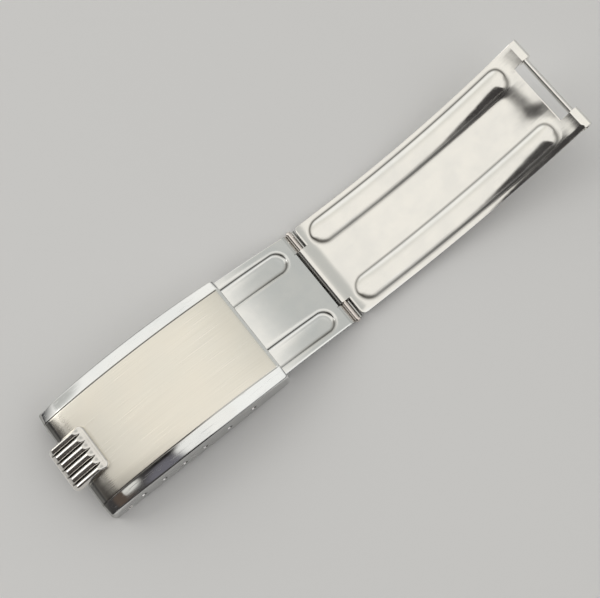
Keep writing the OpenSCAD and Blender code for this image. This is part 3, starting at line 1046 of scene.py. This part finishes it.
def polished(name, colour, dull, low, high):
    """Polished stamped steel with hairline scratches, haze, and painted shade in the creases and
    from the blades' points.

    Colour and roughness drift between the clean and the dull value.
    """
    material, n, shader = metal(name)
    cloud = n.cloud(0.35, 3.0)
    # Painted shade from the blades' points and from occlusion in the creases darkens the tone and
    # raises roughness.
    vertex_shade = n.add("ShaderNodeAttribute", attribute_name="painted_shade").outputs["Fac"]
    painted_shade = n.math("MAXIMUM", crease_shade(n, 0.5), vertex_shade)
    tone = n.mix(painted_shade, n.mix(n.ramp(cloud, 0.35, 0.65), colour, dull), BLADE_PAINTED_SHADE)
    marks = n.times(scratches(n, 0.12), HAIRLINE_HAZE)
    rough = n.math("ADD", n.ramp(cloud, 0.3, 0.7, low, high), marks)
    rough = n.math("ADD", rough, n.times(painted_shade, 0.3))
    drawn = n.times(n.noise(n.stretch((60, 2400, 600)), 1.0, 2.0), 0.12)
    height = n.math("ADD", n.cloud(0.4, 1.5), drawn)
    feed_metal(n, shader, tone, rough, height, 1.0, 0.012)
    return material


def cover_painted_shade(n, y, across, from_lip, inside, before_rim):
    """Painted shade and dark reflections on the cover: creases, score lines, the nose and darker
    patches towards -Y.
    """
    # Painted shade along the score lines, fainter on the -Y side from 15 to 19 mm.
    scored = n.times(n.line(across, TOP_HALF + 0.02, 0.05, 0.13, 0.9), before_rim)
    score_fade = n.times(n.span(from_lip, 15, 19), n.math("LESS_THAN", y, 0.0))
    scored = n.times(scored, n.ramp(score_fade, 0.0, 1.0, 1.0, 0.45))
    # Painted shade: a dark line at the nose's upper edge, and a dark band across the nose standing
    # in for a dark reflection.
    nose_line = n.times(n.line(from_lip, 0.86, 0.05, 0.22, 0.6), inside)
    nose_band = n.span(from_lip, 0.2, 0.95, 0.55, 0.0)
    # Painted shade: a dark line by the -Y score line about 10 mm from the lip, and a darker patch
    # towards the -Y edge within 16 mm of the lip.
    edge_line_shade = n.times(n.line(y, -6.93, 0.12, 0.34, 0.8), n.line(from_lip, 9.8, 1.0, 3.4, 1.0))
    edge_side_shade = n.times(n.span(y, -5.0, -6.6, 0.0, 0.2), n.span(from_lip, 16, 9), inside)
    painted_shade = crease_shade(n, 0.4)
    for shade_mark in (scored, nose_line, nose_band, edge_line_shade, edge_side_shade):
        painted_shade = n.math("MAXIMUM", painted_shade, shade_mark)
    return painted_shade


def brushed_cover(name):
    """The cover: brushed along its length on top, polished on bevels, rim and walls."""
    material, n, shader = metal(name)
    split = n.add("ShaderNodeSeparateXYZ", Vector=n.coord)
    y = split.outputs["Y"]
    across = n.math("ABSOLUTE", y, 0.0)
    from_lip = n.math("SUBTRACT", split.outputs["X"], SHIFT_X * MM)
    inside = n.span(across, TOP_HALF - 0.12, TOP_HALF + 0.02, 1.0, 0.0)
    before_rim = n.span(from_lip, COVER_LENGTH - 0.55, COVER_LENGTH - 0.3, 1.0, 0.0)
    brushed = n.times(inside, n.span(from_lip, 0.95, 1.15), before_rim)
    worn_nose = n.span(from_lip, 1.2, 3.6)

    fine = n.noise(n.stretch((90, 9000, 300)), 1.0, 2.0, 0.6)
    coarse = n.noise(n.stretch((30, 2600, 100)), 1.0, 1.0, 0.5)
    cloud = n.cloud(0.16, 2.0)
    drift = n.ramp(cloud, 0.35, 0.65)
    warm = n.mix(n.ramp(fine, 0.3, 0.7, 0.0, 0.14), n.mix(drift, *COVER_WARM), COVER_STREAK)
    # Painted shade: the side walls take a darker grey than the bevels.
    wall = n.span(across, COVER_HALF_WIDTH - 0.03, COVER_HALF_WIDTH + 0.02)
    bright = n.mix(wall, n.mix(drift, *COVER_BRIGHT), COVER_WALL_SHADE)
    # Painted shade and dark reflections darken the tone.
    painted_shade = cover_painted_shade(n, y, across, from_lip, inside, before_rim)
    tone = n.mix(painted_shade, n.mix(brushed, bright, warm), COVER_PAINTED_SHADE)

    rough_brushed = n.ramp(fine, 0.3, 0.7, 0.27, 0.37)
    rough_brushed = n.times(rough_brushed, n.ramp(worn_nose, 0.0, 1.0, 0.5, 1.0))
    marks = n.times(scratches(n, 0.4), HAIRLINE_HAZE)
    rough_polish = n.math("ADD", n.ramp(cloud, 0.3, 0.7, 0.06, 0.13), marks)
    difference = n.math("SUBTRACT", rough_brushed, rough_polish)
    rough = n.math("ADD", rough_polish, n.times(difference, brushed))
    shader.inputs["Anisotropic"].default_value = 0.7
    shader.inputs["Anisotropic Rotation"].default_value = 0.25
    tangent = n.add("ShaderNodeTangent", direction_type="RADIAL", axis="Y")
    n.feed(shader.inputs["Tangent"], tangent.outputs[0])

    grain = n.math("ADD", n.times(fine, 0.6), n.times(coarse, 0.6))
    height = n.times(grain, brushed, n.ramp(worn_nose, 0.0, 1.0, 0.15, 1.0))
    feed_metal(n, shader, tone, rough, height, 0.3, 0.006)
    return material


# ---------------- stage

# The studio dome: its colour overhead, and long strips by their lean towards +Y, as the
# lean where a strip begins, where it is full, and its colour.
SKY_OVERHEAD = (0.95, 0.93, 0.885)
SKY_STRIPS = (
    (0.45, 1.60, (0.50, 0.495, 0.43)),
    (2.00, 2.30, (0.97, 0.96, 0.93)),
    (-0.75, -1.15, (0.80, 0.80, 0.79)),
    (-1.40, -2.60, (0.30, 0.30, 0.31)),
)
# Its dark side, by X times the turn plus Y, its far -X side, by X, and its horizon, by Z.
DARK_TURN = 2.06
SKY_DARK = (-0.78, -0.89, (0.050, 0.047, 0.047))
SKY_FAR = (-0.80, -0.94, (0.26, 0.255, 0.24))
SKY_HORIZON = (0.30, 0.04, (0.05, 0.05, 0.055))
# Its soft panels: direction, inner and outer angle in degrees, colour.
SKY_PANELS = (
    ((0.0, 0.94, 0.33), 18, 34, (0.98, 0.975, 0.95)),
    ((0.70, 0.26, 0.67), 16, 30, (0.57, 0.575, 0.555)),
    ((0.45, -0.62, 0.66), 20, 25, (1.0, 1.0, 0.98)),
    ((-0.01, -0.665, 0.745), 8.5, 10, (0.96, 0.95, 0.92)),
    ((-0.24, -0.70, 0.68), 3.5, 7, (0.160, 0.155, 0.180)),
    ((-0.56, -0.58, 0.58), 6, 13, (0.100, 0.076, 0.062)),
    ((-0.41, -0.60, 0.69), 2.0, 4.0, (0.80, 0.79, 0.75)),
    ((-0.38, 0.88, 0.29), 3, 8, (0.50, 0.50, 0.48)),
)
# The floor, in metres: its half size and how far it lies below the clasp.
FLOOR_HALF, FLOOR_GAP = 15.0, 0.00002
# The camera: place in mm, angles in degrees, and the lens by its focal length in pixels of
# an image of that width.
CAMERA_PLACE = (-14.67, -31.626, 150.538)
CAMERA_AZIMUTH, CAMERA_ELEVATION, CAMERA_ROLL = -110.994, 77.434, -17.63
FOCAL_PIXELS, IMAGE_PIXELS, SENSOR = 1113.2, 600, 36


def floor():
    """A plain pale floor under the clasp."""
    mesh = bpy.data.meshes.new("floor")
    signs = ((-1, -1), (1, -1), (1, 1), (-1, 1))
    mesh.from_pydata([(x * FLOOR_HALF, y * FLOOR_HALF, 0) for x, y in signs], [], [(0, 1, 2, 3)])
    obj = link("floor", mesh)
    obj.location = (0, 0, -FLOOR_GAP)
    material = bpy.data.materials.new("floor_paper")
    material.use_nodes = True
    shader = material.node_tree.nodes["Principled BSDF"]
    shader.inputs["Base Color"].default_value = (0.80, 0.80, 0.805, 1)
    shader.inputs["Roughness"].default_value = 0.9
    mesh.materials.append(material)


def lamp(name, place, size, power, colour):
    """A soft area lamp aimed at the origin; lengths in metres."""
    data = bpy.data.lights.new(name, "AREA")
    data.shape = "RECTANGLE"
    data.size, data.size_y = size
    data.energy = power
    data.color = colour
    obj = link(name, data)
    obj.location = place
    obj.rotation_euler = (-Vector(place)).to_track_quat("-Z", "Y").to_euler()


def sky():
    """A soft studio dome: bright overhead, dark at the horizon, with a few soft panels."""
    world = bpy.data.worlds.new("studio")
    bpy.context.scene.world = world
    world.use_nodes = True
    n = Nodes(world.node_tree)
    direction = n.tree.nodes.new("ShaderNodeTexCoord").outputs["Generated"]
    x, y, z = n.add("ShaderNodeSeparateXYZ", Vector=direction).outputs

    def panel(towards, inner, outer):
        """1 within the inner angle of a direction, 0 past the outer one."""
        dot = n.add("ShaderNodeVectorMath", operation="DOT_PRODUCT")
        n.feed(dot.inputs[0], direction)
        dot.inputs[1].default_value = Vector(towards).normalized()
        value = dot.outputs["Value"]
        node = n.add("ShaderNodeMapRange", interpolation_type="SMOOTHSTEP", Value=value)
        node.inputs["From Min"].default_value = math.cos(math.radians(outer))
        node.inputs["From Max"].default_value = math.cos(math.radians(inner))
        return node.outputs["Result"]

    lean = n.math("DIVIDE", y, n.math("MAXIMUM", z, 0.02))
    turned = n.math("ADD", n.times(x, DARK_TURN), y)
    tone = SKY_OVERHEAD
    layers = [(lean, *strip) for strip in SKY_STRIPS]
    layers += [(turned, *SKY_DARK), (x, *SKY_FAR), (z, *SKY_HORIZON)]
    for value, start, end, colour in layers:
        tone = n.mix(n.ramp(value, start, end), tone, colour)
    for towards, inner, outer, colour in SKY_PANELS:
        tone = n.mix(panel(towards, inner, outer), tone, colour)
    background = n.tree.nodes["Background"]
    n.feed(background.inputs["Color"], tone)
    background.inputs["Strength"].default_value = 1.0


def camera():
    """The camera at the photograph's viewing angle."""
    azimuth, elevation = math.radians(CAMERA_AZIMUTH), math.radians(CAMERA_ELEVATION)
    roll = math.radians(CAMERA_ROLL)
    place = Vector(CAMERA_PLACE) * MM
    forward = Vector((
        -math.cos(elevation) * math.cos(azimuth),
        -math.cos(elevation) * math.sin(azimuth),
        -math.sin(elevation),
    ))
    right = forward.cross(Vector((0, 0, 1))).normalized()
    up = right.cross(forward)
    right, up = (
        right * math.cos(roll) + up * math.sin(roll),
        up * math.cos(roll) - right * math.sin(roll),
    )
    data = bpy.data.cameras.new("camera")
    data.lens = SENSOR * FOCAL_PIXELS / IMAGE_PIXELS
    data.sensor_width = SENSOR
    data.clip_start = 0.01
    data.clip_end = 10
    obj = link("camera", data)
    turn = Matrix((right, up, -forward)).transposed().to_4x4()
    obj.matrix_world = Matrix.Translation(place) @ turn
    bpy.context.scene.camera = obj


# ---------------- scene

blade_outer = polished("outer_blade_polish", (0.89, 0.875, 0.835), (0.84, 0.83, 0.80), 0.07, 0.15)
blade_inner = polished("inner_blade_polish", (0.87, 0.87, 0.85), (0.81, 0.82, 0.81), 0.07, 0.16)
tab_polish = polished("tab_polish", (0.80, 0.78, 0.74), (0.72, 0.70, 0.67), 0.12, 0.24)
pin_polish = polished("pin_polish", (0.90, 0.89, 0.86), (0.84, 0.82, 0.80), 0.10, 0.18)
rod_polish = polished("rod_polish", (0.87, 0.82, 0.78), (0.76, 0.70, 0.66), 0.10, 0.18)

cover_shell(brushed_cover("cover_brushed"))
lift_tab(tab_polish)
inner_blade(blade_inner)
outer_blade(blade_outer)
pin(
    "cover_hinge_rivet", HINGE_X + SHIFT_X, HINGE_Z, COVER_PIN, PIN_R,
    "cover", ["cover_hinge_pin"], pin_polish,
)
pin(
    "middle_hinge_rod", MIDDLE_X + SHIFT_X, MIDDLE_Z, MIDDLE_PIN, PIN_R,
    "inner", ["middle_hinge_pin"], rod_polish,
)
link_x, _, link_z = outer_place(OUTER_LENGTH, 0, 0)
pin("link_rod", link_x, link_z, LINK_PIN, LINK_PIN_R, "outer", ["link_pin"], pin_polish)

floor()
sky()
lamp("key", (-0.47, 0.44, 0.42), (0.4, 0.3), 0.7, (1.0, 0.99, 0.97))
camera()
bpy.context.scene.view_settings.view_transform = "Standard"
